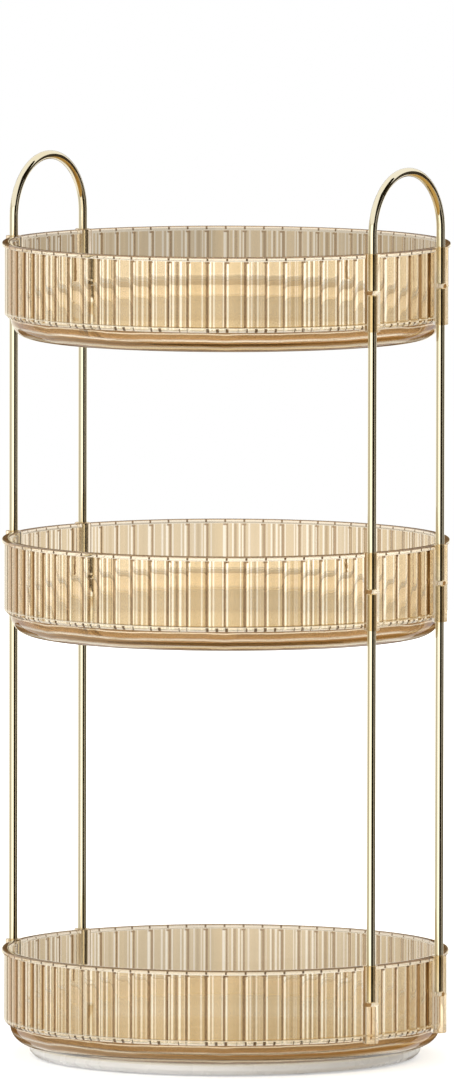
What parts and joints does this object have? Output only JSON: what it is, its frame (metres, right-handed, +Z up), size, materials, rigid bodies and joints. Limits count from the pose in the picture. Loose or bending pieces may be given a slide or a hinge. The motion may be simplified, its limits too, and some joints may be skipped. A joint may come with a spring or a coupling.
{
  "type": "rotating makeup organizer",
  "caption": "Round tiered makeup organizer: clear amber reeded trays stacked on slim gold rods, with arched carrying handles and a white ball-bearing turntable base that lets it spin.",
  "frame": {"origin": "on the table, below the centre of the turntable, at the centre of the underside", "axes": "+Z up along the turntable's axis, +X through the middle of the right handle, -Y towards the front"},
  "size_m": [0.236, 0.234, 0.47],
  "materials": {
    "tray_amber": "clear amber-tinted, polished moulding",
    "gold_rod": "polished gold-coloured plating",
    "white_base": "white satin moulding",
    "natural_plastic": "natural unpigmented plastic",
    "steel_ball": "polished steel",
    "zinc_steel": "bright zinc plating",
    "foot_rubber": "pale matt rubber"
  },
  "bodies": {
    "base": {"base_plate": "white_base", "rubber_feet": "foot_rubber"},
    "bearing": {"ball_cage": "natural_plastic", "bearing_balls": "steel_ball"},
    "carousel": {"tray_bottom": "tray_amber", "tray_middle": "tray_amber", "tray_top": "tray_amber", "lower_rod_right_front": "gold_rod", "lower_rod_right_back": "gold_rod", "lower_rod_left_front": "gold_rod", "lower_rod_left_back": "gold_rod", "upper_rod_right_front": "gold_rod", "upper_rod_right_back": "gold_rod", "upper_rod_left_front": "gold_rod", "upper_rod_left_back": "gold_rod", "handle_right": "gold_rod", "handle_left": "gold_rod", "turntable_plate": "white_base", "pivot_screw": "zinc_steel", "pivot_washer": "zinc_steel"}
  },
  "joints": [
    {"name": "turntable_spin", "type": "hinge", "parent": "base", "child": "carousel", "pos_m": [0, 0, 0], "axis": [0, 0, 1], "continuous": true},
    {"name": "cage_orbit", "type": "hinge", "parent": "base", "child": "bearing", "pos_m": [0, 0, 0], "axis": [0, 0, 1], "continuous": true}
  ],
  "couplings": [
    {"joint": "cage_orbit", "follows": "turntable_spin", "ratio": 0.5}
  ]
}
